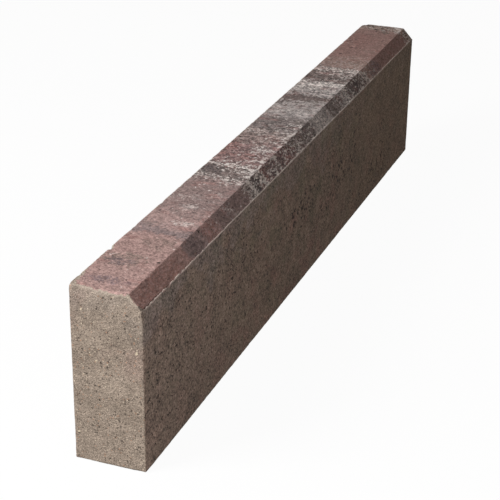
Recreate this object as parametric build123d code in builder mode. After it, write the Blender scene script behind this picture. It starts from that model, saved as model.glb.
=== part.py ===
"""Upright concrete kerb stone, pressed in one piece, with one bevelled top edge.

The stone stands on its bed as it is laid. X runs along its length, the road face looks along -Y,
and +Z is up. The origin is at the middle of the bed.
"""

import os

from build123d import *

# Block, in millimetres
LENGTH = 1000.0
WIDTH = 80.0
HEIGHT = 200.0

# Bevel along the top of the road face
BEVEL_WIDTH = 15.0
BEVEL_DROP = 16.5

# Arrises: those of the mould box, and the finer ones that the pressing shoe leaves round the top
MOULD_ARRIS_RADIUS = 2.0
TOP_ARRIS_RADIUS = 1.2

# Fin of concrete, squeezed up between the shoe and the mould wall at the foot of the bevel
FIN_THICKNESS = 0.8
FIN_HEIGHT = 1.0
FIN_ROOT = 3.0
FIN_END_SETBACK = 4.0

# Places in the section
road_side = -WIDTH / 2
back_side = WIDTH / 2
bevel_head = road_side + BEVEL_WIDTH
bevel_foot = HEIGHT - BEVEL_DROP

# The fin stands on the slope of the bevel, flush with the road face
fin_inner = road_side + FIN_THICKNESS
fin_seat = bevel_foot + FIN_THICKNESS * BEVEL_DROP / BEVEL_WIDTH
fin_crest = fin_seat + FIN_HEIGHT

# Section planes, looking along the stone
block_start = Plane.YZ.offset(-LENGTH / 2)
fin_start = Plane.YZ.offset(-LENGTH / 2 + FIN_END_SETBACK)

with BuildPart() as kerb_stone:
    # The pressed block: a rectangle with one corner bevelled
    with BuildSketch(block_start):
        with BuildLine():
            Polyline(
                (back_side, 0),
                (back_side, HEIGHT),
                (bevel_head, HEIGHT),
                (road_side, bevel_foot),
                (road_side, 0),
                close=True,
            )
        make_face()
    extrude(amount=LENGTH)

    # The four uprights at the ends and the four arrises of the bed
    uprights = kerb_stone.edges().filter_by(Axis.Z)
    bed_arrises = kerb_stone.faces().sort_by(Axis.Z)[0].edges()
    fillet(uprights + bed_arrises, radius=MOULD_ARRIS_RADIUS)

    # The arrises round the top and down the ends of the bevel; the bevel's upper edge stays crisp
    top_face = kerb_stone.faces().sort_by(Axis.Z)[-1]
    bevel_edge = top_face.edges().filter_by(Axis.X).sort_by(Axis.Y)[0]
    bevel_face = kerb_stone.faces().filter_by(lambda face: face.normal_at().Y < 0 < face.normal_at().Z)[0]
    bevel_ends = bevel_face.edges().filter_by(GeomType.LINE).filter_by(Axis.X, reverse=True)
    top_arrises = top_face.edges() - ShapeList([bevel_edge])
    fillet(top_arrises + bevel_ends, radius=TOP_ARRIS_RADIUS)

    # The fin, rooted in the block and stopped short of both ends
    with BuildSketch(fin_start):
        with BuildLine():
            Polyline(
                (road_side, bevel_foot - FIN_ROOT),
                (road_side, fin_crest),
                (fin_inner, fin_crest),
                (fin_inner, bevel_foot - FIN_ROOT),
                close=True,
            )
        make_face()
    extrude(amount=LENGTH - 2 * FIN_END_SETBACK)

kerb_stone.part.label = "kerb_stone"

os.makedirs("parts", exist_ok=True)
export_step(kerb_stone.part, "parts/kerb_stone.step")
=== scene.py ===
"""Concrete kerb stone: its worn mesh, its pressed-concrete finish, the studio and the camera."""

import math
import random
from dataclasses import dataclass

import bpy
import numpy as np
from mathutils import Matrix, Vector, noise
from mathutils.geometry import delaunay_2d_cdt
from mathutils.kdtree import KDTree


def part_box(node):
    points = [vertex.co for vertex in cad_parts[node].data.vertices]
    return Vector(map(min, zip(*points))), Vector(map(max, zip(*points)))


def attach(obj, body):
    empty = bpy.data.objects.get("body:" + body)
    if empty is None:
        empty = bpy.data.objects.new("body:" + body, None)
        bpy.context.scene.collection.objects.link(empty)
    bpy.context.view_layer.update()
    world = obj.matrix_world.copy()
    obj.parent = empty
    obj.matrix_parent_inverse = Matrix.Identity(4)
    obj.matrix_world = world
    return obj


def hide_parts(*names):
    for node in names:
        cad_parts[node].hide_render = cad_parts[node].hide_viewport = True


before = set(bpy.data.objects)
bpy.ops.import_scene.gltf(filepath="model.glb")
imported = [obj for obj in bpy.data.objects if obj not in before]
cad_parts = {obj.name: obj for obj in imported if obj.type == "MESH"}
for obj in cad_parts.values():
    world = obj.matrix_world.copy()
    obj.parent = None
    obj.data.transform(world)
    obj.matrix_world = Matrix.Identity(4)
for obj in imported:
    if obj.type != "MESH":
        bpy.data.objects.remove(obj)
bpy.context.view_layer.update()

# Sizes are in millimetres, and the mesh is scaled to metres
MM = 0.001
stone_low, stone_high = (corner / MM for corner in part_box("kerb_stone"))
LENGTH, WIDTH, HEIGHT = stone_high - stone_low
NEAR_END = stone_low.x
FAR_END = stone_high.x
ROAD_SIDE = stone_low.y
BACK_SIDE = stone_high.y

# Section: the bevel, the fin at its foot and the rounding of each arris
BEVEL_WIDTH = 15.0
BEVEL_DROP = 16.5
BEVEL_HEAD = ROAD_SIDE + BEVEL_WIDTH
BEVEL_FOOT = HEIGHT - BEVEL_DROP
MOULD_ARRIS = 1.6
TOP_ARRIS = 1.2
BEVEL_ARRIS = 0.6
FIN_THICKNESS = 0.8
FIN_HEIGHT = 1.0
FIN_END_SETBACK = 5.0
FIN_SEAT = BEVEL_FOOT + FIN_THICKNESS * BEVEL_DROP / BEVEL_WIDTH

# The crest's two edges, across the fin's thickness, and the film on the road face below it: pale paste
# with a painted highlight
CREST_INNER_SHARE = 0.95
CREST_OUTER_SHARE = 0.05
FILM_LENGTH = 0.7

# How much of the crest's rise and paleness, paste and painted highlight, reaches the film's top and end
FILM_TOP_LIFT_SHARE = 0.6
FILM_TOP_PALE_SHARE = 0.3
FILM_END_LIFT_SHARE = 0.5

# Teeth of the fin's crest: strength, size and seed. Heights are shares of the fin's height, and the near
# end is the most ragged
FIN_TEETH = [
    (1.2, 9.0, 3.7),
    (1.6, 4.1, 9.2),
]
FIN_RAGGED_LENGTH = 220.0
FIN_USUAL_SHARE = 0.6
FIN_LOWEST_SHARE = -0.3
FIN_HIGHEST_SHARE = 2.3
FIN_EVEN_SHARE = 0.25
FIN_RAGGED_SHARE = 1.6

# Knots that thicken the crest inwards: how far, how long they are, and how steeply they swell
FIN_KNOT = 0.85
FIN_KNOT_SIZE = 6.0
FIN_KNOT_STEEPNESS = 4

# How pale the fin is, as paste and as a painted highlight of its lit crest: everywhere, at the near end,
# where it stands up and catches more light, and in patches
FIN_PALE_SHARE = 0.35
FIN_PALE_NEAR_SHARE = 0.1
FIN_HIGHLIGHT_HEIGHT_SHARE = 0.5
FIN_PALE_PATCH_SHARE = 0.3
FIN_PALE_PATCH_SIZE = 30.0

# Painted shade in the crease above the fin, towards the near end: how dark it is at the fin's seat and beside
# it
FIN_SEAT_SHADE_SHARE = 0.85
FIN_SHADE_SHARE = 0.55

# Grid of the mesh: spacing of the points on each run of the outline, and of the stations
ROAD_SPACING = 2.4
BACK_SPACING = 2.9
BED_SPACING = 4.2
TOP_SPACING = 1.7
BEVEL_SPACING = 1.5
STATION_SPACING = 2.85
CAP_SPACING = 2.3
ARC_STEPS = 3

# How much of an arris's rounding is left at its two ends
CORNER_END_SHARE = 0.6

# Points inside the ends: how clear of the rim they keep, where each lies in its square, and how near
# together two count as one
CAP_CLEAR_SHARE = 0.6
CAP_JITTER_SHARES = (0.2, 0.8)
CAP_JOIN_DISTANCE = 1e-5

# How far points inside a face stray from the grid, so that pores and dents don't line up with it
STRAY_SHARE = 0.28

# Seeds of the random draws
STRAY_SEED = 3
CAP_SEED = 5
PORE_SEED = 11

# Dents of the surface, as grain, lumps and waves: depth, size and seed
DENTS = [
    (0.35, 3.0, 1.3),
    (0.5, 11.0, 4.1),
    (0.4, 70.0, 7.7),
]

# Breaks that wear makes in the arrises: strength, size and seed
WEAR_DEPTH = 0.9
BREAKS = [
    (1.0, 8.0, 2.9),
    (0.6, 8.0 / 3, 6.3),
]

# How far the top sags in the middle of the length
SAG = 0.8

# The mould leaves its faces and arrises evener than the pressed top
MOULDED_RELIEF_SHARE = 0.5
MOULDED_WEAR_SHARE = 0.35

# How far the facing's border draws back for each millimetre that is worn or knocked off
BORDER_LOSS = 2

# Knocks: where each one is, how far it reaches, and how far its middle is pushed
KNOCKS = [
    ((NEAR_END, BACK_SIDE, HEIGHT), 5.0, (0.6, -0.7, -1.0)),
    ((NEAR_END + 93, BACK_SIDE, HEIGHT), 5.0, (0, -1.7, -1.8)),
    ((FAR_END, BACK_SIDE, HEIGHT), 9.0, (-2.4, -2.0, -1.0)),
    ((NEAR_END, ROAD_SIDE, BEVEL_FOOT - 2), 9.0, (0.3, 1.3, -0.3)),
    ((NEAR_END, ROAD_SIDE, 0), 14.0, (0.2, 0.1, 0.6)),
]

# The rough bottom of a knock, and how soon its full push is reached
KNOCK_ROUGH_SHARE = 0.5
KNOCK_ROUGH_SIZE = 3.0
KNOCK_STEEPNESS = 1.6

# Pores large enough to model, and how many are in the back and in each end
PORE_RADII = (1.6, 3.8)
PORE_DEPTHS = (0.6, 1.5)
END_PORE_SHARE = 0.45
BACK_PORES = 320
END_PORES = 50

# Pore clusters of the road face: distance from the near end, height, half length, half height, count and
# share of the full size
PORE_CLUSTERS = [
    (60, 100, 80, 95, 110, 0.75),
    (220, 115, 120, 60, 80, 0.85),
    (475, 105, 65, 32, 60, 1.15),
    (630, 105, 85, 40, 55, 1.2),
    (820, 40, 130, 35, 35, 1.2),
    (500, 92, 500, 95, 130, 0.9),
]

# Pits in the facing: distance from the near end and from the back, radius and depth
PITS = [
    (78, 61, 3.2, 0.8),
    (171, 69, 3.4, 1.0),
    (455, 6, 4.0, 1.2),
    (835, 16, 3.8, 1.2),
    (873, 21, 4.0, 1.4),
]

# How far the facing's border wanders over the arrises, and how it leans at the ends: bare concrete shows
# on the top near the back, and facing spills over the end nearer to the bevel
BORDER_REACH = 4.0
BORDER_LEAN = 2.8
BORDER_CROSSING = 25.0
BORDER_SWING = 14.0

# Bare concrete along the back arris, widest at the near end
BARE_LENGTH = 40.0
BARE_WIDTH = 6.0

# Texture: its margins, how high the sweep reaches and how wide each end is above it
TEXTURE_MARGIN = 0.01
TEXTURE_ARRIS_SHARE = 0.8
TEXTURE_SWEEP_TOP = 0.8
TEXTURE_END_WIDTH = 0.17

# Colours, as they look in plain light
PASTE_LIGHT = (163, 148, 134)
PASTE_DARK = (143, 129, 116)
PASTE_PINK = (164, 142, 131)
CREAM_GRAIN = (216, 200, 178)
DARK_GRAIN = (66, 56, 51)
ORANGE_GRAIN = (182, 138, 110)
PALE_STONE = (208, 192, 168)
# Painted shade in pores and pits
PORE_SHADE = (40, 33, 30)
MOULD_SKIN = (138, 119, 106)
MOULD_RED = (142, 115, 104)
MOULD_OLIVE = (128, 115, 99)
MOULD_GREY = (139, 122, 112)
MOULD_BROWN = (140, 119, 100)
# Pale paste of the fin, with a painted highlight of its lit crest
FIN_PASTE_AND_HIGHLIGHT = (238, 222, 212)
# Worn pale arrises, with a painted highlight along them
WORN_ARRIS_AND_HIGHLIGHT = (200, 186, 170)
TERRACOTTA = (171, 141, 135)
ROSE = (172, 145, 140)
MAUVE = (144, 126, 124)
TAUPE = (150, 132, 127)
MULBERRY = (150, 129, 125)
SOOT = (126, 112, 108)
CHARCOAL = (96, 87, 86)
SLATE = (136, 125, 122)
GRAPHITE = (124, 110, 106)
SANDY = (168, 139, 131)
RUSSET = (162, 131, 124)
UMBER = (143, 118, 115)
RUST = (154, 112, 106)
PALE_GREY = (180, 170, 167)
BEIGE = (164, 143, 134)
MAROON = (150, 108, 98)
CHALK = (236, 226, 220)
VIOLET = (112, 99, 104)
PLUM = (104, 88, 87)
OLIVE = (112, 104, 94)
# Painted shade in the facing's small pits
PIT_SHADE = (78, 66, 63)

# How much greyer the depth of the facing is, in red, green and blue
FACING_TINT_SHARES = (1.02, 1.07, 1.16)

# Colour bands of the facing, with where each starts from the near end
FACING_BANDS = [
    (0, TERRACOTTA),
    (135, MAUVE),
    (165, ROSE),
    (207, MULBERRY),
    (307, SOOT),
    (363, UMBER),
    (443, TAUPE),
    (490, SLATE),
    (538, PALE_GREY),
    (602, GRAPHITE),
    (645, PALE_GREY),
    (697, GRAPHITE),
    (747, TAUPE),
    (770, SANDY),
    (815, RUSSET),
    (978, BEIGE),
]
BAND_SOFTNESS = 4.0

# How far the bands' borders wander: in wide sweeps, raggedly, and from grain to grain
BAND_SWEEP = 70
BAND_RAG = 44
BAND_GRAIN = 14

# On the bevel the facing's pattern is finer across the stone, and drawn out a little along it
BEVEL_FINER_SHARE = 0.6
BEVEL_LONGER_SHARE = 0.2

# Patterns that are drawn out along X, Y or Z, where the share is under 1
STREAKY_SHARES = (1, 0.45, 0.45)
LINED_SHARES = (1, 0.12, 0.12)
PORE_SHARES = (0.6, 1, 1)

# How strongly each grain lightens and darkens what it lies on
SKIN_FINE_STRENGTH = 5.4
SKIN_COARSE_STRENGTH = 1.9
SAND_TONE_STRENGTH = 0.5
SAND_FINE_STRENGTH = 2.3
SAND_COARSE_STRENGTH = 0.7
FACING_GRAIN_STRENGTH = 3.8
FACING_CLOUD_STRENGTH = 2.0
FACING_LINE_STRENGTH = 3.0
FACING_TONE_STRENGTH = 0.6
FACING_DARKEST_SHARE = 0.35

# How much the mould's skin covers the paste, and how much of the sand it hides
SKIN_SHARE = 0.85
SKIN_HIDING_SHARE = 0.6

# How much redder the mould's skin is near the bed, and how far clusters and the mould favour grains and pores
BED_RED_STRENGTH = 0.12
CLUSTER_STRENGTH = 0.06
MOULD_PORE_STRENGTH = 0.02

# How raggedly the depth of the facing reaches down the sides, and how much of it shows where it shows least
LAYER_RAG = 130
LAYER_LEAST_SHARE = 0.3

# How ragged the mesh's pores look, and how dark the painted shade in all pores is: more so in the moulded
# faces and the facing
HOLE_RAG = 0.9
PORE_DARK_SHARE = 0.65
MOULDED_PORE_SHARE = 0.25
FACING_PORE_SHARE = 0.3

# Surface of the concrete, and how high its bump stands, in millimetres
ROUGHNESS = 0.92
SPECULAR_LEVEL = 0.25
BUMP_STRENGTH = 0.8
SAND_BUMP = 0.6
FACING_BUMP = 1.4

# Chalky streaks across the facing: middle at the back, middle at the road side, half width and strength
STREAKS = [
    (247, 252, 5, 0.35),
    (318, 310, 9, 0.6),
    (359, 349, 9, 1.2),
    (478, 466, 9, 0.5),
    (569, 562, 9, 0.6),
    (680, 688, 14, 1.1),
    (748, 766, 13, 1.0),
    (780, 792, 7, 0.35),
    (806, 812, 6, 0.25),
]

# Shares along the facing, with where each starts: how thickly chalky specks lie, how strongly the grain
# shows, and how thickly dark violet specks lie
SPECK_SHARES = [
    (0, 0.0), (200, 0.3), (300, 0.9), (430, 0.85), (500, 0.7), (540, 0.4),
    (640, 0.65), (690, 0.8), (765, 0.5), (790, 0.3), (820, 0.12), (972, 1.0),
]
GRAIN_SHARES = [(0, 0.55), (300, 1.0), (520, 0.75), (640, 1.0), (770, 0.5), (972, 1.2)]
VIOLET_SHARES = [(0, 0.45), (130, 0.35), (300, 0.6), (770, 0.3), (960, 0.5)]

# How thickly chalky specks lie at the back, more so at the road side, less so on the bevel, and usually
SPECK_BACK_SHARE = 0.25
SPECK_ROAD_SHARE = 0.9
SPECK_BEVEL_SHARE = 0.2
SPECK_USUAL_SHARE = 0.3

# How strongly specks depend on how thickly they lie, on the tone of the grain and on clumps
SPECK_STRENGTH = 0.3
SPECK_TONE_STRENGTH = 0.22
SPECK_CLUMP_STRENGTH = 0.7
VIOLET_STRENGTH = 0.14

# How ragged patches are, and how much of a streak's half width is solid
PATCH_RAG = 4
STREAK_SOLID_SHARE = 0.2

# Single patches of the facing: distance from the near end and from the back, half length, half width,
# colour and strength
PATCHES = [
    (22, 32, 10, 26, VIOLET, 0.7),
    (72, 28, 18, 26, OLIVE, 0.6),
    (67, 24, 9, 16, VIOLET, 0.6),
    (120, 42, 16, 20, OLIVE, 0.45),
    (177, 48, 8, 15, CHALK, 0.6),
    (222, 33, 10, 11, CHALK, 0.5),
    (336, 13, 14, 17, CHARCOAL, 1.4),
    (335, 76, 14, 14, CHARCOAL, 1.5),
    (353, 33, 10, 8, RUST, 0.7),
    (420, 8, 26, 10, RUST, 0.6),
    (420, 45, 12, 15, PALE_GREY, 0.7),
    (797, 40, 22, 40, OLIVE, 0.2),
    (797, 26, 7, 8, PALE_GREY, 0.6),
    (790, 52, 12, 14, BEIGE, 0.7),
    (860, 50, 8, 10, BEIGE, 0.7),
    (905, 18, 45, 24, RUST, 0.4),
    (962, 45, 8, 8, OLIVE, 0.9),
    (45, 75, 75, 14, MAROON, 0.6),
    (146, 75, 18, 14, PLUM, 0.7),
    (190, 75, 18, 14, RUST, 0.7),
    (258, 75, 48, 14, PLUM, 0.6),
    (318, 75, 5, 13, CHALK, 0.7),
    (347, 75, 4, 13, CHALK, 0.7),
    (358, 75, 7, 12, RUST, 0.9),
    (395, 75, 30, 12, CHARCOAL, 0.9),
    (470, 75, 32, 12, CHARCOAL, 0.7),
    (620, 75, 18, 12, PALE_GREY, 0.4),
    (655, 75, 22, 12, PALE_GREY, 0.3),
    (715, 75, 28, 12, CHARCOAL, 0.9),
    (815, 75, 24, 11, VIOLET, 0.75),
]

# Single stones in the near end: distance from the back, height and radius
END_STONES = [
    (27.5, 120, 1.3),
    (5, 33, 1.6),
    (72, 137, 1.6),
    (13, 175, 1.2),
]

# Camera, fitted to the photograph's corners and edges
CAMERA_PLACE = Vector((-1.6116, -0.5655, 0.8188))
CAMERA_AZIMUTH = -69.47
CAMERA_ELEVATION = 24.83
CAMERA_ROLL = 0.78
CAMERA_LENS = 103.11
SENSOR_WIDTH = 36.0

# Lamps: name, place and target in metres, size, power and colour
LAMPS = [
    ("key", Vector((-1.5, 1.15, 1.4)), Vector((-0.3, 0, 0.1)), 1.0, 58, (1, 1, 1)),
    ("fill", Vector((-1.3, -1.1, 0.32)), Vector((-0.4, 0, 0.1)), 0.6, 7.5, (1.0, 0.95, 0.92)),
]

# Light from all round, and the floor: dim in the light that it throws on the stone, and pale to the camera
AMBIENT_COLOUR = (1.0, 0.85, 0.72, 1)
AMBIENT_STRENGTH = 0.055
FLOOR_SIZE = 30
FLOOR_DIM = (0.2, 0.2, 0.2, 1)
FLOOR_PALE = (0.95, 0.95, 0.95, 1)
FLOOR_GLOW_SHARE = 0.96


# Outline of the section

@dataclass
class OutlinePoint:
    """A point of the section in (y, z), with what moves and marks it."""

    place: Vector
    top: bool

    # Whether it lies in a rounded corner, and the most that the stone's ends are rounded there
    rounded: bool = False
    end_limit: float = math.inf

    # How the fin's height and knots move it, how pale its paste and painted highlight make it, and how
    # dark the painted shade in the crease above the fin makes it
    lift: float = 0.0
    slide: tuple = (0, 0)
    film: float = 0.0
    gap: float = 0.0

    # Whether it belongs to the bevel's lower or upper edge
    foot: bool = False
    head: bool = False

    # The step to the next point, along which it may stray
    stride: Vector = None

    def end_arris(self):
        """The radius of the arris at the stone's ends."""
        if self.foot:
            return (TOP_ARRIS + MOULD_ARRIS) / 2
        return min(TOP_ARRIS if self.top else MOULD_ARRIS, self.end_limit)


class Outline:
    """The closed section, counter-clockwise about +X."""

    def __init__(self):
        self.points = []

    def add(self, place, top, **marks):
        self.points.append(OutlinePoint(Vector(place), top, **marks))

    def run(self, start, end, spacing, top):
        """Points after start and before end, evenly spaced. They may stray along their stride."""
        start = Vector(start)
        end = Vector(end)
        steps = max(1, round((end - start).length / spacing))
        stride = (end - start) / steps
        for step in range(1, steps):
            self.add(start + stride * step, top, stride=stride)

    def arc(self, before, corner, after, radius, top, head=False):
        """The rounded corner. Returns where it meets the next run."""
        corner = Vector(corner)
        inward = (Vector(before) - corner).normalized()
        onward = (Vector(after) - corner).normalized()
        setback = radius / math.tan(inward.angle(onward) / 2)
        first = corner + inward * setback
        last = corner + onward * setback
        end_limit = math.inf if head else radius * CORNER_END_SHARE
        for step in range(ARC_STEPS + 1):
            share = step / ARC_STEPS
            place = first.lerp(corner, share).lerp(corner.lerp(last, share), share)
            self.add(place, top, rounded=True, end_limit=end_limit, head=head)
        return last


def section():
    """The points of the outline, from the foot of the road face round to it again."""
    road_foot = (ROAD_SIDE, 0)
    back_foot = (BACK_SIDE, 0)
    back_head = (BACK_SIDE, HEIGHT)
    bevel_head = (BEVEL_HEAD, HEIGHT)
    bevel_foot = (ROAD_SIDE, BEVEL_FOOT)
    outline = Outline()
    last = outline.arc(bevel_foot, road_foot, back_foot, MOULD_ARRIS, False)
    outline.run(last, (BACK_SIDE - MOULD_ARRIS, 0), BED_SPACING, False)
    last = outline.arc(road_foot, back_foot, back_head, MOULD_ARRIS, False)
    outline.run(last, (BACK_SIDE, HEIGHT - TOP_ARRIS), BACK_SPACING, False)
    last = outline.arc(back_foot, back_head, bevel_head, TOP_ARRIS, True)
    outline.run(last, (BEVEL_HEAD + BEVEL_ARRIS, HEIGHT), TOP_SPACING, True)
    last = outline.arc(back_head, bevel_head, bevel_foot, BEVEL_ARRIS, True, head=True)

    # The fin: the row of points beside it, its seat on the bevel, its crest, and the film of paste that
    # it leaves on the road face. The crest and the film are pale paste with a painted highlight, and the seat
    # and the row beside it get painted shade in the crease above the fin
    upslope = (Vector(bevel_head) - Vector(bevel_foot)).normalized()
    seat = Vector((ROAD_SIDE + FIN_THICKNESS, FIN_SEAT))
    beside = seat + upslope * BEVEL_SPACING
    film_end = (ROAD_SIDE, BEVEL_FOOT - FILM_LENGTH)
    outline.run(last, beside, BEVEL_SPACING, True)
    outline.add(beside, True, gap=FIN_SHADE_SHARE)
    outline.add(seat, True, slide=(1, BEVEL_DROP / BEVEL_WIDTH), gap=FIN_SEAT_SHADE_SHARE, foot=True)
    crest_inner = (ROAD_SIDE + FIN_THICKNESS * CREST_INNER_SHARE, FIN_SEAT)
    crest_outer = (ROAD_SIDE + FIN_THICKNESS * CREST_OUTER_SHARE, FIN_SEAT)
    outline.add(crest_inner, True, lift=1.0, slide=(1, 0), film=1.0, foot=True)
    outline.add(crest_outer, False, lift=1.0, film=1.0, foot=True)
    outline.add(bevel_foot, False, lift=FILM_TOP_LIFT_SHARE, film=FILM_TOP_PALE_SHARE, foot=True)
    outline.add(film_end, False, lift=FILM_END_LIFT_SHARE, foot=True)
    outline.run(film_end, (ROAD_SIDE, MOULD_ARRIS), ROAD_SPACING, False)
    return outline.points


def outward(points):
    """The outward normal at each point of a closed counter-clockwise outline."""
    along = np.roll(points, -1, axis=0) - np.roll(points, 1, axis=0)
    along /= np.linalg.norm(along, axis=1)[:, None]
    return np.stack([along[:, 1], -along[:, 0]], axis=1)


# Mesh of the stone

def clamp(value, low=0.0, high=1.0):
    """The value, held between low and high."""
    return max(low, min(high, value))


def wobble(place, size, seed):
    """Smooth noise from -1 to 1, with bumps about size millimetres across."""
    return noise.noise(place / size + Vector((seed, -seed, seed)))


def layered(place, layers):
    """Noise in layers, each with its strength, size and seed."""
    return sum(strength * wobble(place, size, seed) for strength, size, seed in layers)


def below_bevel(y, z):
    """How far a place lies inside the slope of the bevel, measured across it."""
    steps = (y - ROAD_SIDE) / BEVEL_WIDTH + (HEIGHT - z) / BEVEL_DROP - 1
    return steps * BEVEL_WIDTH * BEVEL_DROP / math.hypot(BEVEL_WIDTH, BEVEL_DROP)


class StoneMesh:
    """Points, faces and surface marks of the stone, built in millimetres."""

    def __init__(self):
        self.outline = section()
        self.flat = np.array([tuple(point.place) for point in self.outline])
        self.flat_normals = outward(self.flat)
        self.lean_together([point.foot for point in self.outline], Vector((-1, 0)))
        self.lean_together([point.head for point in self.outline], Vector((0, 1)))
        self.count = len(self.flat)
        self.draw = random.Random(STRAY_SEED)
        self.points = []
        self.normals = []
        self.facing = []
        self.edge = []
        self.film = []
        self.pore = []
        self.stations = []
        self.faces = []

    def lean_together(self, chosen, beside):
        """Gives chosen points one normal, halfway between the bevel's and the face's beside it.

        They lie so close together that dents along normals of their own would cross.
        """
        bevel = Vector((-BEVEL_DROP, BEVEL_WIDTH)).normalized()
        self.flat_normals[chosen] = (bevel + beside).normalized()

    def add_point(self, point, normal, facing, edge=0.0, film=0.0, pore=0.0):
        self.points.append(point)
        self.normals.append(normal)
        self.facing.append(facing)
        self.edge.append(edge)
        self.film.append(film)
        self.pore.append(pore)

    def stray(self):
        """How far a point strays, as a share of the distance between points."""
        return self.draw.uniform(-STRAY_SHARE, STRAY_SHARE)

    def add_station(self, station, turn=0.0, loose=False):
        """One ring of the sweep. In the arris at an end, turn is how far it has turned to face out.

        In a loose ring the points inside each face stray from the grid.
        """
        side = math.copysign(1, station)
        height = self.fin_height(station)
        knot = self.fin_knot(station, height)
        self.stations.append(station)
        for point, flat, across in zip(self.outline, self.flat, self.flat_normals):
            radius = point.end_arris()
            normal = Vector((side * math.sin(turn), *(across * math.cos(turn))))
            x = station
            if turn > 0:
                x = side * (LENGTH / 2 - radius * (1 - math.sin(turn)))
            y, z = flat - across * radius * (1 - math.cos(turn))
            if loose and point.stride is not None:
                x += STATION_SPACING * self.stray()
                y, z = Vector((y, z)) + point.stride * self.stray()
            slide = Vector(point.slide) * knot
            place = Vector((x, y + slide.x, z + slide.y + point.lift * height))
            facing = self.facing_depth(place) if point.top else -self.depth(y, z)
            edge = (1.0 if point.top else MOULDED_WEAR_SHARE) * max(point.rounded, math.sin(turn))
            # How pale the fin makes the point: paste and painted highlight
            film = point.film * self.fin_paste_and_highlight(station, height)
            # Painted shade in the crease between the fin and the bevel, carried with the pores' painted shade
            gap = point.gap * self.fin_fade(station) * self.fin_nearness(station)
            self.add_point(place, normal, facing, edge, film, gap)

    def facing_depth(self, point):
        """How far inside the facing's border a point of the top or the bevel lies."""
        bare = BARE_WIDTH * max(0.0, 1 - (point.x - NEAR_END) / BARE_LENGTH)
        return min(LENGTH / 2 - abs(point.x) + self.border_lean(point.y), BACK_SIDE - point.y - bare)

    def border_lean(self, y):
        """How far the facing's border at the ends stands out over the arris. Negative is in from it."""
        return BORDER_LEAN * math.sin((BACK_SIDE - y - BORDER_CROSSING) / BORDER_SWING)

    def depth(self, y, z):
        """How far below the facing a place in the section lies."""
        return max(0.0, min(HEIGHT - z, below_bevel(y, z)))

    def fin_fade(self, x):
        """1 where the fin is whole, and 0 at the ends of the stone, where it is gone."""
        return clamp((LENGTH / 2 - abs(x)) / FIN_END_SETBACK - 0.5)

    def fin_nearness(self, x):
        """1 at the near end, where the fin is most ragged, and 0 where it runs evenly."""
        return clamp(1 - (x - NEAR_END) / FIN_RAGGED_LENGTH)

    def fin_height(self, x):
        """How far the fin stands up at this place along the stone. It is ragged."""
        raggedness = FIN_EVEN_SHARE + FIN_RAGGED_SHARE * self.fin_nearness(x)
        share = FIN_USUAL_SHARE + layered(Vector((x, 0, 0)), FIN_TEETH) * raggedness
        return FIN_HEIGHT * clamp(share, FIN_LOWEST_SHARE, FIN_HIGHEST_SHARE) * self.fin_fade(x)

    def fin_knot(self, x, height):
        """How far the fin's crest is thickened inwards over the bevel, in knots."""
        share = max(0.0, FIN_KNOT_STEEPNESS * wobble(Vector((x, 0, 0)), FIN_KNOT_SIZE, seed=5.1))
        return FIN_KNOT * clamp(share * height / FIN_HEIGHT)

    def fin_paste_and_highlight(self, x, height):
        """How pale the fin is, as paste and as a painted highlight: palest where it stands up, and towards
        the near end.
        """
        standing = FIN_HIGHLIGHT_HEIGHT_SHARE * height / FIN_HEIGHT
        patchy = FIN_PALE_PATCH_SHARE * wobble(Vector((x, 0, 0)), FIN_PALE_PATCH_SIZE, seed=1.9)
        share = FIN_PALE_SHARE + FIN_PALE_NEAR_SHARE * self.fin_nearness(x) + standing + patchy
        return clamp(share) * self.fin_fade(x)

    def sweep(self):
        """All rings from the near end to the far end, and the faces between them."""
        turns = [math.pi / 2 * (1 - step / ARC_STEPS) for step in range(ARC_STEPS)]
        for turn in turns:
            self.add_station(NEAR_END, turn)
        stop = LENGTH / 2 - max(MOULD_ARRIS, TOP_ARRIS)
        steps = round(2 * stop / STATION_SPACING)
        for step in range(steps + 1):
            self.add_station(stop * (2 * step / steps - 1), loose=0 < step < steps)
        for turn in reversed(turns):
            self.add_station(FAR_END, turn)
        for station in range(len(self.stations) - 1):
            near = station * self.count
            far = near + self.count
            for index in range(self.count):
                after = (index + 1) % self.count
                self.faces.append((near + index, near + after, far + after, far + index))

    def cap(self, side):
        """The flat end, filled with evenly spread points and joined to the last ring."""
        first = 0 if side < 0 else (len(self.stations) - 1) * self.count
        rim = [Vector((point.y, point.z)) for point in self.points[first:first + self.count]]
        draw = random.Random(CAP_SEED + side)
        clear = MOULD_ARRIS + CAP_SPACING * CAP_CLEAR_SHARE
        inner = []
        for row in range(int(HEIGHT / CAP_SPACING)):
            for column in range(int(WIDTH / CAP_SPACING)):
                jitter = Vector((draw.uniform(*CAP_JITTER_SHARES), draw.uniform(*CAP_JITTER_SHARES)))
                spot = Vector((ROAD_SIDE, 0)) + (Vector((column, row)) + jitter) * CAP_SPACING
                if min(self.margins(*spot)) > clear:
                    inner.append(spot)
        loop = list(range(self.count))
        filled = delaunay_2d_cdt(rim + inner, [], [loop], 1, CAP_JOIN_DISTANCE)
        spots, _, triangles, origins, _, _ = filled
        numbers = []
        for spot, origin in zip(spots, origins):
            if origin[0] < self.count:
                numbers.append(first + origin[0])
            else:
                numbers.append(len(self.points))
                place = Vector((side * LENGTH / 2, spot.x, spot.y))
                below = self.depth(spot.x, spot.y) - self.border_lean(spot.x)
                self.add_point(place, Vector((side, 0, 0)), -below)
        for triangle in triangles:
            corners = [numbers[corner] for corner in triangle]
            self.faces.append(tuple(corners if side > 0 else reversed(corners)))

    def margins(self, y, z):
        """How far a place in the section lies from the sides, the bed and the facing."""
        return [WIDTH / 2 - abs(y), z, self.depth(y, z)]

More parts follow.
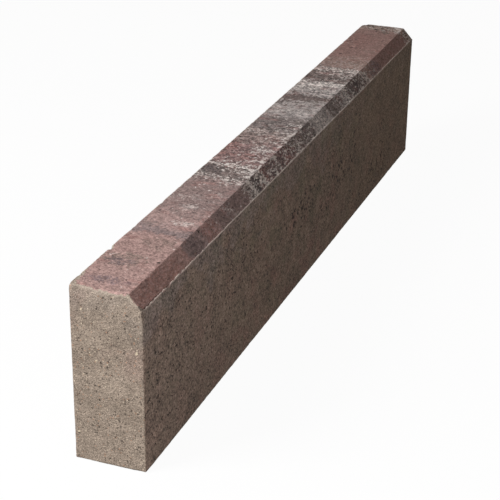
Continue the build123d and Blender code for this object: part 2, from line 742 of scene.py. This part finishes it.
    def roughen(self):
        """Dents every point inwards, and wears the arrises."""
        for index, place in enumerate(self.points):
            pressed = max(0.0, self.normals[index].z)
            depth_share = MOULDED_RELIEF_SHARE + (1 - MOULDED_RELIEF_SHARE) * pressed
            dents = sum(depth * max(0.0, wobble(place, size, seed)) for depth, size, seed in DENTS)
            wear = WEAR_DEPTH * self.edge[index] * max(0.0, layered(place, BREAKS))
            place -= self.normals[index] * (dents * depth_share + wear)
            self.facing[index] -= wear * BORDER_LOSS

    def knock(self):
        """Breaks the corners and edges that are knocked off, down to the bare concrete."""
        for middle, reach, push in KNOCKS:
            for index, place in enumerate(self.points):
                nearness = 1 - (place - Vector(middle)).length / reach
                if nearness > 0:
                    share = nearness * (1 + KNOCK_ROUGH_SHARE * wobble(place, KNOCK_ROUGH_SIZE, seed=8.8))
                    place += Vector(push) * min(1.0, share * KNOCK_STEEPNESS)
                    self.facing[index] -= BORDER_REACH * share * BORDER_LOSS

    def sag(self):
        """Lets the top down a little towards the middle of the length."""
        for place in self.points:
            share = place.x / (LENGTH / 2)
            place.z *= 1 - SAG * (1 - share * share) / HEIGHT

    def open_pores(self):
        """Sinks pores into the moulded faces and the ends, and pits into the facing."""
        tree = KDTree(len(self.points))
        for index, place in enumerate(self.points):
            tree.insert(place, index)
        tree.balance()
        draw = random.Random(PORE_SEED)
        depths = {}
        spots = []
        for from_near, height, half_length, half_height, count, share in PORE_CLUSTERS:
            for _ in range(count):
                x = NEAR_END + from_near + draw.triangular(-1, 1) * half_length
                spots.append((Vector((x, ROAD_SIDE, height + draw.triangular(-1, 1) * half_height)), share))
        for _ in range(BACK_PORES):
            spot = Vector((draw.uniform(NEAR_END, FAR_END), BACK_SIDE, draw.uniform(0, HEIGHT)))
            spots.append((spot, 1.0))
        for end in (NEAR_END, FAR_END):
            for _ in range(END_PORES):
                spot = Vector((end, draw.uniform(ROAD_SIDE, BACK_SIDE), draw.uniform(0, HEIGHT)))
                spots.append((spot, END_PORE_SHARE))
        for spot, share in spots:
            radius = draw.uniform(*PORE_RADII) * share
            depth = draw.uniform(*PORE_DEPTHS) * min(share, 1.0)
            if self.clear_of_arrises(spot):
                self.sink(tree, spot, radius, depth, depths)
        for from_near, from_back, radius, depth in PITS:
            spot = Vector((NEAR_END + from_near, BACK_SIDE - from_back, HEIGHT))
            self.sink(tree, spot, radius, depth, depths)
        for index, depth in depths.items():
            self.points[index] -= self.normals[index] * depth

    def clear_of_arrises(self, spot):
        """True if a pore at a spot would not break into an arris."""
        clear = MOULD_ARRIS + max(PORE_RADII)
        margins = [LENGTH / 2 - abs(spot.x)] + self.margins(spot.y, spot.z)
        return sum(margin < clear for margin in margins) <= 1

    def sink(self, tree, spot, radius, depth, depths):
        """One pore or pit at the point nearest to spot, with its share of painted shade."""
        middle, _, _ = tree.find(spot)
        for _, index, distance in tree.find_range(middle, radius):
            share = 1 - (distance / radius) ** 2
            depths[index] = max(depths.get(index, 0), depth * share)
            # The pore's share of painted shade
            self.pore[index] = max(self.pore[index], share)

    def texture_map(self):
        """Where each corner of each face lies on the texture: the sweep below, and the two ends above it."""
        steps = np.linalg.norm(np.roll(self.flat, -1, axis=0) - self.flat, axis=1)
        round_shares = np.concatenate([[0], np.cumsum(steps) / steps.sum()])
        v = TEXTURE_MARGIN + round_shares * (TEXTURE_SWEEP_TOP - TEXTURE_MARGIN)
        u = TEXTURE_MARGIN + (np.array(self.stations) - NEAR_END) / LENGTH * (1 - 2 * TEXTURE_MARGIN)
        arris = np.linspace(TEXTURE_MARGIN * TEXTURE_ARRIS_SHARE, 0, ARC_STEPS, endpoint=False)
        u[:ARC_STEPS] -= arris
        u[-ARC_STEPS:] += arris[::-1]
        spots = [
            (u[station + far], v[index + high])
            for station in range(len(self.stations) - 1)
            for index in range(self.count)
            for far, high in ((0, 0), (0, 1), (1, 1), (1, 0))
        ]
        for face in self.faces[(len(self.stations) - 1) * self.count:]:
            for corner in face:
                point = self.points[corner]
                start = TEXTURE_MARGIN if point.x < 0 else 0.5 + TEXTURE_MARGIN
                along = point.z / HEIGHT * (0.5 - 2 * TEXTURE_MARGIN)
                across = (point.y - ROAD_SIDE) / WIDTH * TEXTURE_END_WIDTH
                spots.append((start + along, TEXTURE_SWEEP_TOP + TEXTURE_MARGIN + across))
        return np.array(spots)


def build_stone():
    """The worn stone as an object, in metres."""
    stone = StoneMesh()
    stone.sweep()
    stone.cap(-1)
    stone.cap(1)
    spots = stone.texture_map()
    stone.open_pores()
    stone.roughen()
    stone.knock()
    stone.sag()
    mesh = bpy.data.meshes.new("kerb_stone_worn")
    mesh.from_pydata([point * MM for point in stone.points], [], stone.faces)
    mesh.shade_smooth()
    mesh.uv_layers.new(name="OFBake").uv.foreach_set("vector", spots.ravel())
    # Where the facing lies, the fin's paste and painted highlight, and the painted shade of pores and of the
    # crease above the fin
    for name in ("facing", "film", "pore"):
        mesh.attributes.new(name, "FLOAT", "POINT").data.foreach_set("value", getattr(stone, name))
    piece = bpy.data.objects.new("kerb_stone_worn", mesh)
    bpy.context.scene.collection.objects.link(piece)
    return piece


# Finish

def linear(colour):
    """A colour written as it looks, from 0 to 255, as the linear RGBA that shaders use."""
    shares = [value / 255 for value in colour]
    return [v / 12.92 if v <= 0.04045 else ((v + 0.055) / 1.055) ** 2.4 for v in shares] + [1.0]


class Wire:
    """A value in a node tree. Sums and products of wires add the nodes that work them out."""

    def __init__(self, finish, socket):
        self.finish = finish
        self.socket = socket

    def __add__(self, other):
        return self.finish.math("ADD", self, other)

    def __sub__(self, other):
        return self.finish.math("SUBTRACT", self, other)

    def __rsub__(self, other):
        return self.finish.math("SUBTRACT", other, self)

    def __mul__(self, other):
        return self.finish.math("MULTIPLY", self, other)

    def __truediv__(self, other):
        return self.finish.math("DIVIDE", self, other)


class Finish:
    """A node material, with short calls for the nodes it is made of."""

    def __init__(self, name):
        self.material = bpy.data.materials.new(name)
        self.material.use_nodes = True
        self.tree = self.material.node_tree
        self.shader = self.tree.nodes["Principled BSDF"]

    def feed(self, socket, value):
        """Links a wire to a socket, or sets the socket to a number, a vector or a colour."""
        if isinstance(value, Wire):
            self.tree.links.new(value.socket, socket)
        elif isinstance(value, tuple):
            socket.default_value = linear(value)
        else:
            socket.default_value = value

    def node(self, kind, inputs=None, **settings):
        node = self.tree.nodes.new("ShaderNode" + kind)
        for name, value in settings.items():
            setattr(node, name, value)
        for name, value in (inputs or {}).items():
            self.feed(node.inputs[name], value)
        return node

    def wire(self, node, output=0):
        return Wire(self, node.outputs[output])

    def math(self, operation, first, second=0.0):
        return self.wire(self.node("Math", {0: first, 1: second}, operation=operation))

    def vector(self, operation, first, second, output=0):
        return self.wire(self.node("VectorMath", {0: first, 1: second}, operation=operation), output)

    def scale(self, colour, value):
        return self.wire(self.node("VectorMath", {0: colour, "Scale": value}, operation="SCALE"))

    def split(self, vector):
        node = self.node("SeparateXYZ", {"Vector": vector})
        return [self.wire(node, axis) for axis in "XYZ"]

    def join(self, x, y, z):
        return self.wire(self.node("CombineXYZ", {"X": x, "Y": y, "Z": z}))

    def mix(self, first, second, share, strength=1.0):
        """The first colour where share is 0, and the second, as strongly as strength says, where it is 1."""
        inputs = {0: share * strength, 6: first, 7: second}
        return self.wire(self.node("Mix", inputs, data_type="RGBA"), 2)

    def rise(self, value, zero, one):
        """Eases from 0, where the value is zero, to 1, where it is one."""
        inputs = {"Value": value, "From Min": zero, "From Max": one}
        return self.wire(self.node("MapRange", inputs, interpolation_type="SMOOTHSTEP"))

    def noise(self, place, size, seed, detail=3.0, roughness=0.5):
        """Soft noise about 0, with blobs about size millimetres across."""
        inputs = {"Vector": place, "W": seed, "Scale": 1 / size, "Detail": detail, "Roughness": roughness}
        return self.wire(self.node("TexNoise", inputs, noise_dimensions="4D"), "Fac") - 0.5

    def drift(self, place, size, seed, reach):
        """The place, moved about by up to reach, so that what is drawn there has rough outlines."""
        inputs = {"Vector": place, "W": seed, "Scale": 1 / size, "Detail": 1.0}
        shift = self.wire(self.node("TexNoise", inputs, noise_dimensions="4D"), "Color")
        shift = self.vector("SUBTRACT", shift, Vector((0.5, 0.5, 0.5)))
        return self.vector("ADD", place, self.scale(shift, reach * 2))

    def cells(self, place, size, seed):
        """Grains that fill the space. Gives how far a place is from its grain's middle, and three chances."""
        moved = self.vector("ADD", place, Vector((1, 2, 3)) * seed * size)
        node = self.node("TexVoronoi", {"Vector": moved, "Scale": 1 / size})
        return self.wire(node, "Distance"), self.split(self.wire(node, "Color"))

    def bands(self, along, stops):
        """A colour or a share for each stretch of the length, with soft borders."""
        ramp = self.node("ValToRGB", {"Fac": along / LENGTH})
        marks = ramp.color_ramp.elements
        ends = [start for start, _ in stops[1:]] + [LENGTH]
        wanted = []
        for (start, value), end in zip(stops, ends):
            colour = linear(value) if isinstance(value, tuple) else [value, value, value, 1.0]
            wanted.append(((start + BAND_SOFTNESS) / LENGTH, colour))
            wanted.append(((end - BAND_SOFTNESS) / LENGTH, colour))
        for number, (position, colour) in enumerate(wanted):
            mark = marks[number] if number < len(marks) else marks.new(position)
            mark.position = position
            mark.color = colour
        return self.wire(ramp)

    def attribute(self, name):
        return self.wire(self.node("Attribute", attribute_name=name), "Fac")


def paste(finish, place):
    """The ground colour of the bare concrete, mottled."""
    mottle = finish.noise(place, size=26, seed=1)
    pink = finish.noise(place, size=60, seed=2, detail=2)
    colour = finish.mix(PASTE_DARK, PASTE_LIGHT, finish.rise(mottle, zero=-0.25, one=0.2))
    return finish.mix(colour, PASTE_PINK, finish.rise(pink, zero=0.05, one=0.2), strength=0.5)


def mould_skin(finish, place):
    """The darker, blotched skin of the moulded faces: redder near the bed, and browner near the far end."""
    x, _, z = finish.split(place)
    from_near = x - NEAR_END
    blotch = finish.noise(place, size=42, seed=3, roughness=0.6)
    hue = blotch - (z / HEIGHT - 0.5) * BED_RED_STRENGTH
    skin = finish.mix(MOULD_SKIN, MOULD_RED, finish.rise(hue, zero=0.02, one=0.14))
    skin = finish.mix(skin, MOULD_OLIVE, finish.rise(hue, zero=-0.02, one=-0.14))
    skin = finish.mix(skin, MOULD_GREY, finish.rise(from_near, zero=420, one=60), strength=0.6)
    skin = finish.mix(skin, MOULD_BROWN, finish.rise(from_near, zero=480, one=900), strength=0.6)
    fine = finish.noise(place, size=3.0, seed=24, roughness=0.8)
    coarse = finish.noise(place, size=16, seed=25, roughness=0.6)
    return finish.scale(skin, fine * SKIN_FINE_STRENGTH + coarse * SKIN_COARSE_STRENGTH + 1.0)


def sand(finish, place, colour, moulded):
    """Sand and small stones in the paste, as a colour and a relief. The mould's skin hides some of them."""
    rough = finish.drift(place, size=1.3, seed=5, reach=0.8)
    away, (tone, tint, choice) = finish.cells(rough, size=1.5, seed=6)
    body = finish.rise(away, zero=0.8, one=0.35)
    fine = finish.noise(place, size=2.2, seed=26, roughness=0.8)
    coarse = finish.noise(place, size=9, seed=31, detail=2, roughness=0.6)
    toned = (tone - 0.5) * body * SAND_TONE_STRENGTH
    colour = finish.scale(colour, toned + fine * SAND_FINE_STRENGTH + coarse * SAND_COARSE_STRENGTH + 1.0)
    seen = body * (1.0 - moulded * SKIN_HIDING_SHARE)
    colour = finish.mix(colour, CREAM_GRAIN, seen * finish.rise(tint, zero=0.97, one=0.98), strength=0.7)
    colour = finish.mix(colour, ORANGE_GRAIN, seen * finish.rise(tint, zero=0.03, one=0.02), strength=0.6)
    clusters = finish.rise(finish.noise(place, size=22, seed=7, detail=2), zero=-0.1, one=0.14)
    dark = finish.rise(choice - clusters * CLUSTER_STRENGTH, zero=0.045, one=0.02)
    return finish.mix(colour, DARK_GRAIN, seen * dark, strength=0.7), tone * body


def end_stones(finish, place, colour):
    """The larger stones that show in the near end."""
    rough = finish.drift(place, size=2.5, seed=8, reach=1.2)
    for from_back, height, radius in END_STONES:
        middle = Vector((NEAR_END, BACK_SIDE - from_back, height))
        away = finish.vector("DISTANCE", rough, middle, "Value") / radius
        colour = finish.mix(colour, PALE_STONE, finish.rise(away, zero=1.2, one=0.8))
    return colour


def facing_layer(finish, place, colour, moulded):
    """The depth of the facing, a greyer layer that shows in places down the sides and, less so, the ends."""
    x, _, _ = finish.split(place)
    ragged = finish.noise(place, size=26, seed=9) * LAYER_RAG
    layer = finish.rise(ragged - finish.attribute("facing"), zero=26, one=6)
    for shown in (finish.rise(x - NEAR_END, zero=800, one=400), moulded):
        layer = layer * (shown * (1 - LAYER_LEAST_SHARE) + LAYER_LEAST_SHARE)
    greyer = finish.vector("MULTIPLY", colour, Vector(FACING_TINT_SHARES))
    return finish.mix(colour, greyer, layer)


class Facing:
    """The coloured facing: bands, patches and streaks, with chalky and dark specks."""

    def __init__(self, finish, place):
        self.finish = finish
        x, y, z = finish.split(place)
        self.from_near = x - NEAR_END
        self.from_back = BACK_SIDE - y
        self.bevelled = finish.math("GREATER_THAN", self.from_back, WIDTH - BEVEL_WIDTH)
        longer = 1.0 - self.bevelled * BEVEL_LONGER_SHARE
        finer = self.bevelled * BEVEL_FINER_SHARE + 1.0
        self.place = finish.join(x * longer, y * finer, z * finer)
        self.streaky = finish.vector("MULTIPLY", self.place, Vector(STREAKY_SHARES))
        rough = finish.drift(self.place, size=2.2, seed=11, reach=1.4)
        self.away, (self.tone, self.chance, shift) = finish.cells(rough, size=3.2, seed=12)
        self.ragged = finish.noise(self.place, size=5, seed=13, detail=2, roughness=0.65)
        self.grain = finish.noise(self.place, size=2.6, seed=16, detail=2, roughness=0.7)
        broken = finish.noise(self.place, size=3.2, seed=15, detail=2, roughness=0.65)
        self.gaps = finish.rise(broken, zero=-0.14, one=0.1)
        wide = finish.noise(self.streaky, size=28, seed=14, roughness=0.6)
        wander = wide * BAND_SWEEP + self.ragged * BAND_RAG + (shift - 0.5) * BAND_GRAIN
        self.along = self.from_near + wander
        self.pale = finish.bands(self.along, SPECK_SHARES)

    def colour(self):
        """The bands, with all that lies over them."""
        colour = self.finish.bands(self.along, FACING_BANDS)
        for layer in (self.patches, self.streaks, self.hues, self.grains, self.specks, self.pits):
            colour = layer(colour)
        return colour

    def patches(self, colour):
        """Single patches with ragged outlines."""
        for start, across, half_length, half_width, patch, strength in PATCHES:
            ahead = (self.from_near - start) / half_length
            aside = (self.from_back - across) / half_width
            spread = ahead * ahead + aside * aside + self.ragged * PATCH_RAG
            shown = self.finish.rise(spread, zero=1.2, one=0.3) * self.gaps
            colour = self.finish.mix(colour, patch, shown, strength)
        return colour

    def streaks(self, colour):
        """Chalky streaks across the stone."""
        for at_back, at_front, half_width, strength in STREAKS:
            middle = self.from_back * ((at_front - at_back) / WIDTH) + at_back
            aside = self.finish.math("ABSOLUTE", self.along - middle) / half_width
            shown = self.finish.rise(aside, zero=1, one=STREAK_SOLID_SHARE) * self.gaps
            colour = self.finish.mix(colour, CHALK, shown, strength)
        return colour

    def hues(self, colour):
        """Redder and duller stretches."""
        hue = self.finish.noise(self.streaky, size=14, seed=27, roughness=0.6)
        colour = self.finish.mix(colour, RUST, self.finish.rise(hue, zero=0.04, one=0.18), strength=0.45)
        return self.finish.mix(colour, OLIVE, self.finish.rise(hue, zero=-0.08, one=-0.22), strength=0.35)

    def grains(self, colour):
        """Granular and cloudy lights and darks, and fine lines across the stone in its farther half."""
        finish = self.finish
        cloud = finish.noise(self.place, size=8, seed=17, roughness=0.6)
        drawn_out = finish.vector("MULTIPLY", self.place, Vector(LINED_SHARES))
        lines = finish.noise(drawn_out, size=6, seed=28)
        lined = finish.rise(self.from_near, zero=480, one=620) * self.pale
        uneven = self.grain * FACING_GRAIN_STRENGTH + cloud * FACING_CLOUD_STRENGTH
        uneven = uneven + lines * lined * FACING_LINE_STRENGTH + (self.tone - 0.5) * FACING_TONE_STRENGTH
        strength = finish.bands(self.from_near, GRAIN_SHARES)
        return finish.scale(colour, finish.math("MAXIMUM", uneven * strength + 1.0, FACING_DARKEST_SHARE))

    def specks(self, colour):
        """Dark violet specks, and chalky ones that are thickest towards the road side."""
        finish = self.finish
        dark = finish.bands(self.from_near, VIOLET_SHARES)
        speck = finish.noise(self.place, size=3.4, seed=18, roughness=0.7)
        clump = finish.noise(self.place, size=9, seed=29, detail=2)
        shown = finish.rise(speck - dark * VIOLET_STRENGTH, zero=-0.2, one=-0.27)
        colour = finish.mix(colour, VIOLET, shown, strength=0.7)
        thickness = self.from_back / WIDTH * SPECK_ROAD_SHARE + SPECK_BACK_SHARE
        thickness = self.pale * (thickness - self.bevelled * SPECK_BEVEL_SHARE) - SPECK_USUAL_SHARE
        mark = speck + (self.tone - 0.5) * SPECK_TONE_STRENGTH + clump * SPECK_CLUMP_STRENGTH
        mark = mark + thickness * SPECK_STRENGTH
        return finish.mix(colour, CHALK, finish.rise(mark, zero=0.17, one=0.27), strength=0.85)

    def pits(self, colour):
        """Painted shade of small pits, in a few of the grains."""
        pitted = self.finish.rise(self.chance, zero=0.95, one=0.96)
        hole = self.finish.rise(self.away, zero=0.42, one=0.25)
        return self.finish.mix(colour, PIT_SHADE, hole * pitted, strength=0.85)


def pores(finish, place, moulded):
    """Where fine pores of the bare concrete lie, longer than they are high, in clusters, for their painted
    shade.
    """
    level = finish.vector("MULTIPLY", place, Vector(PORE_SHARES))
    clusters = finish.rise(finish.noise(place, size=70, seed=21), zero=-0.1, one=0.14)
    blobs = finish.noise(level, size=2.8, seed=22, detail=2, roughness=0.6)
    favoured = clusters * CLUSTER_STRENGTH + moulded * MOULD_PORE_STRENGTH
    return finish.rise(blobs + favoured, zero=0.17, one=0.24)


def pressed_concrete():
    """Bare concrete, the facing on the top and the bevel, the fin's paste and painted highlight, and the
    pores' painted shade.
    """
    finish = Finish("pressed_concrete")
    coordinates = finish.node("TexCoord")
    place = finish.vector("MULTIPLY", finish.wire(coordinates, "Object"), Vector((1, 1, 1)) / MM)
    _, outwards, _ = finish.split(finish.wire(coordinates, "Normal"))
    moulded = finish.rise(finish.math("ABSOLUTE", outwards), zero=0.5, one=0.8)

    bare_colour = finish.mix(paste(finish, place), mould_skin(finish, place), moulded, SKIN_SHARE)
    bare_colour = facing_layer(finish, place, bare_colour, moulded)
    bare_colour, sand_relief = sand(finish, place, bare_colour, moulded)
    bare_colour = end_stones(finish, place, bare_colour)
    facing = Facing(finish, place)

    # The facing stops at a ragged border near the arrises, and the concrete beside it is worn pale, with a
    # painted highlight along the arris
    wander = finish.noise(place, size=6, seed=23, roughness=0.6) * (BORDER_REACH * 3)
    inside = finish.attribute("facing") + wander
    worn = finish.rise(inside, zero=-BORDER_REACH, one=0.0) * (1.0 - moulded)
    bare_colour = finish.mix(bare_colour, WORN_ARRIS_AND_HIGHLIGHT, worn, strength=0.45)
    shown = finish.rise(inside, zero=0.4, one=1.4)
    colour = finish.mix(bare_colour, facing.colour(), shown)
    # The fin's pale paste, with a painted highlight of its lit crest and of the road face below it
    colour = finish.mix(colour, FIN_PASTE_AND_HIGHLIGHT, finish.attribute("film"))

    # Pores: those in the mesh, with ragged outlines, and finer ones in the bare concrete, all darkened with
    # painted shade. The mesh's pore marks also carry the painted shade in the crease above the fin
    ragged = finish.noise(place, size=1.6, seed=30, detail=1) * HOLE_RAG
    holes = finish.rise(finish.attribute("pore") + ragged, zero=0.45, one=0.7)
    dark = finish.math("MAXIMUM", pores(finish, place, moulded) * (1.0 - shown), holes)
    darkness = moulded * MOULDED_PORE_SHARE + shown * FACING_PORE_SHARE + PORE_DARK_SHARE
    colour = finish.mix(colour, PORE_SHADE, dark * darkness)

    finish.feed(finish.shader.inputs["Base Color"], colour)
    finish.feed(finish.shader.inputs["Roughness"], ROUGHNESS)
    finish.feed(finish.shader.inputs["Specular IOR Level"], SPECULAR_LEVEL)
    relief = sand_relief * (1.0 - shown) * SAND_BUMP + facing.grain * shown * FACING_BUMP - dark
    bump = finish.node("Bump", {"Height": relief, "Strength": BUMP_STRENGTH, "Distance": MM})
    finish.feed(finish.shader.inputs["Normal"], finish.wire(bump))
    return finish.material


piece = build_stone()
piece.data.materials.append(pressed_concrete())
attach(piece, "root")
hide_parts("kerb_stone")


# Camera

def add_camera():
    """The camera, where the photograph was taken from."""
    data = bpy.data.cameras.new("camera")
    data.sensor_width = SENSOR_WIDTH
    data.lens = CAMERA_LENS
    camera = bpy.data.objects.new("camera", data)
    place = Matrix.Translation(CAMERA_PLACE)
    for axis, angle in (("Z", CAMERA_AZIMUTH), ("X", 90 - CAMERA_ELEVATION), ("Z", CAMERA_ROLL)):
        place = place @ Matrix.Rotation(math.radians(angle), 4, axis)
    camera.matrix_world = place
    bpy.context.scene.collection.objects.link(camera)
    bpy.context.scene.camera = camera


add_camera()


# Studio

def add_softbox(name, place, target, size, power, colour):
    """A square lamp that shines from place towards target."""
    data = bpy.data.lights.new(name, "AREA")
    data.shape = "SQUARE"
    data.size = size
    data.energy = power
    data.color = colour
    lamp = bpy.data.objects.new(name, data)
    lamp.location = place
    lamp.rotation_euler = (target - place).to_track_quat("-Z", "Y").to_euler()
    lamp.visible_camera = False
    bpy.context.scene.collection.objects.link(lamp)


def shader(tree, kind, **inputs):
    """A shader of a node tree, with some of its inputs set."""
    node = tree.nodes.new("ShaderNode" + kind)
    for name, value in inputs.items():
        node.inputs[name].default_value = value
    return node


def shown_to_camera(tree, usual, shown):
    """The shown shader where the camera sees it, also in a reflection, and the usual one for other light."""
    path = tree.nodes.new("ShaderNodeLightPath")
    seen = path.outputs["Is Camera Ray"]
    for name in ("Is Glossy Ray", "Is Transmission Ray"):
        either = tree.nodes.new("ShaderNodeMath")
        either.operation = "MAXIMUM"
        tree.links.new(seen, either.inputs[0])
        tree.links.new(path.outputs[name], either.inputs[1])
        seen = either.outputs[0]
    choose = shader(tree, "MixShader")
    for socket, output in zip(choose.inputs, (seen, usual.outputs[0], shown.outputs[0])):
        tree.links.new(output, socket)
    return choose.outputs[0]


def add_world():
    """Warm, dim light from all round. The camera sees a pale background instead."""
    world = bpy.data.worlds.new("studio")
    bpy.context.scene.world = world
    world.use_nodes = True
    tree = world.node_tree
    ambient = tree.nodes["Background"]
    ambient.inputs["Color"].default_value = AMBIENT_COLOUR
    ambient.inputs["Strength"].default_value = AMBIENT_STRENGTH
    pale = shader(tree, "Background")
    tree.links.new(shown_to_camera(tree, ambient, pale), tree.nodes["World Output"].inputs["Surface"])


def add_floor():
    """A pale floor that keeps a little of the shadow."""
    bpy.ops.mesh.primitive_plane_add(size=FLOOR_SIZE)
    floor = bpy.context.object
    floor.name = "floor"
    material = bpy.data.materials.new("floor")
    material.use_nodes = True
    tree = material.node_tree
    tree.nodes.remove(tree.nodes["Principled BSDF"])
    dim = shader(tree, "BsdfDiffuse", Color=FLOOR_DIM)
    pale = shader(tree, "BsdfDiffuse", Color=FLOOR_PALE)
    glow = shader(tree, "Emission")
    lit = shader(tree, "MixShader")
    lit.inputs[0].default_value = FLOOR_GLOW_SHARE
    tree.links.new(pale.outputs[0], lit.inputs[1])
    tree.links.new(glow.outputs[0], lit.inputs[2])
    tree.links.new(shown_to_camera(tree, dim, lit), tree.nodes["Material Output"].inputs["Surface"])
    floor.data.materials.append(material)


for lamp in LAMPS:
    add_softbox(*lamp)
add_world()
add_floor()
bpy.context.scene.view_settings.view_transform = "Standard"
